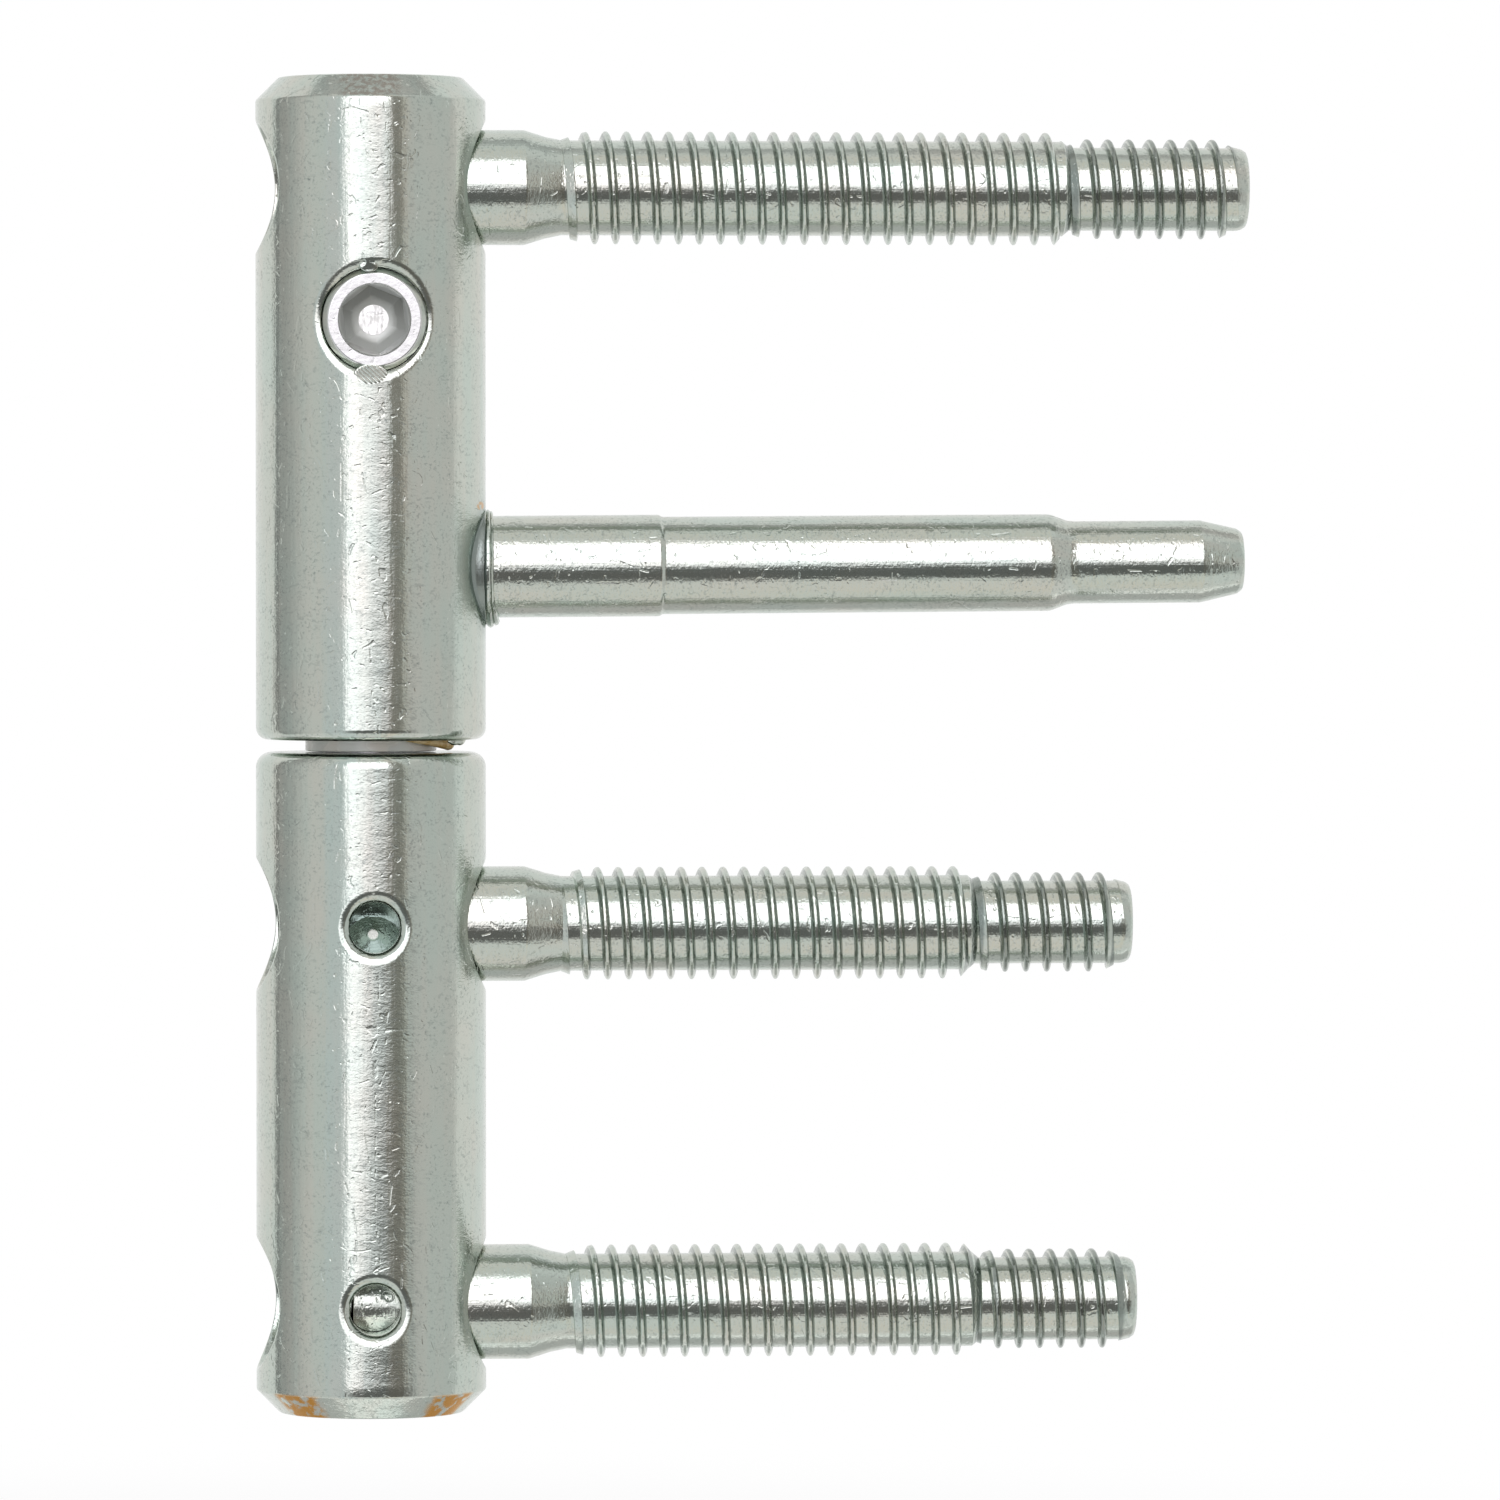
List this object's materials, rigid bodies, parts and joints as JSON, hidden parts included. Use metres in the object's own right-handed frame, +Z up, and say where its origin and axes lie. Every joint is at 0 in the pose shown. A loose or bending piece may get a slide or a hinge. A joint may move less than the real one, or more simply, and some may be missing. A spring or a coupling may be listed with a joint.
{
  "type": "adjustable barrel hinge",
  "caption": "Drill-in door hinge of two round steel barrels on one axis, with threaded pins, a smooth guide pin and a hex-socket screw that sets the height.",
  "frame": {"origin": "on the hinge axis, at the height of the frame barrel's joint face, which is its upper end", "axes": "+Z up along the hinge axis, +X along the pins towards their tips, -Y the front with the height screw"},
  "size_m": [0.0866, 0.02, 0.1161],
  "materials": {
    "barrel_zinc": "bright zinc plate over drawn steel",
    "pin_zinc": "bright zinc plate over turned steel",
    "screw_zinc": "bright zinc plate over a turned screw",
    "bare_steel": "ground hardened steel",
    "bush_plastic": "off-white, slightly waxy"
  },
  "bodies": {
    "frame": {"frame_barrel": "barrel_zinc", "hinge_pin": "bare_steel", "frame_dowel_upper": "bare_steel", "frame_dowel_lower": "bare_steel"},
    "upper_pin": {"frame_pin_upper": "pin_zinc"},
    "lower_pin": {"frame_pin_lower": "pin_zinc"},
    "pivot": {"pivot_bush": "bush_plastic", "thrust_ball": "bare_steel", "thrust_cap": "bare_steel"},
    "leaf": {"leaf_barrel": "barrel_zinc", "guide_pin": "pin_zinc", "weld_bead": "pin_zinc", "leaf_dowel": "bare_steel"},
    "leaf_pin": {"leaf_screw_pin": "pin_zinc"},
    "screw": {"height_screw": "screw_zinc"}
  },
  "joints": [
    {"name": "leaf_swing", "type": "hinge", "parent": "frame", "child": "pivot", "pos_m": [0, 0, 0], "axis": [0, 0, 1], "continuous": true},
    {"name": "height_slide", "type": "slide", "parent": "pivot", "child": "leaf", "axis": [0, 0, 1], "range_m": [0, 0.0025]},
    {"name": "height_screw_turn", "type": "hinge", "parent": "leaf", "child": "screw", "pos_m": [0, 0, 0.0374], "axis": [0, 1, 0], "range_deg": [0, 240]},
    {"name": "leaf_pin_turn", "type": "hinge", "parent": "leaf", "child": "leaf_pin", "pos_m": [0, 0, 0.0491], "axis": [1, 0, 0], "continuous": true},
    {"name": "upper_pin_turn", "type": "hinge", "parent": "frame", "child": "upper_pin", "pos_m": [0, 0, -0.015], "axis": [1, 0, 0], "continuous": true},
    {"name": "lower_pin_turn", "type": "hinge", "parent": "frame", "child": "lower_pin", "pos_m": [0, 0, -0.048], "axis": [1, 0, 0], "continuous": true}
  ],
  "couplings": [
    {"joint": "height_screw_turn", "follows": "height_slide", "rad_per_m": 1675.5}
  ]
}
